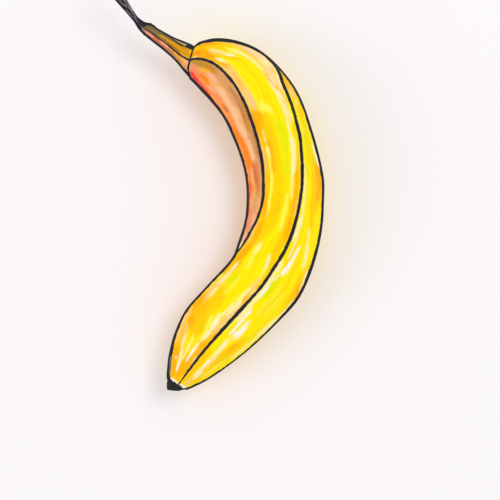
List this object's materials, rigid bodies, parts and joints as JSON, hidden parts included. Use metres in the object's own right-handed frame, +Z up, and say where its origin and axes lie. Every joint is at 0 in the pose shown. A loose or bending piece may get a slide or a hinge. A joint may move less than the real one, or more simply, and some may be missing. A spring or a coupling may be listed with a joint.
{
  "type": "plantain",
  "caption": "Whole unpeeled plantain lying on its side: a curved, ridged fruit with a tapering stalk, a dried forked stub and a blunt dark blossom tip.",
  "frame": {"origin": "on the surface that the fruit lies on, under the middle of its outline seen from above", "axes": "+Z up; +Y along the fruit's length, towards the stalk; +X towards the outer side of the curve, so the hollow of the curve faces -X"},
  "size_m": [0.1333, 0.25, 0.0466],
  "materials": {
    "peel": "satin"
  },
  "bodies": {
    "root": {"plantain": "peel"}
  },
  "joints": []
}
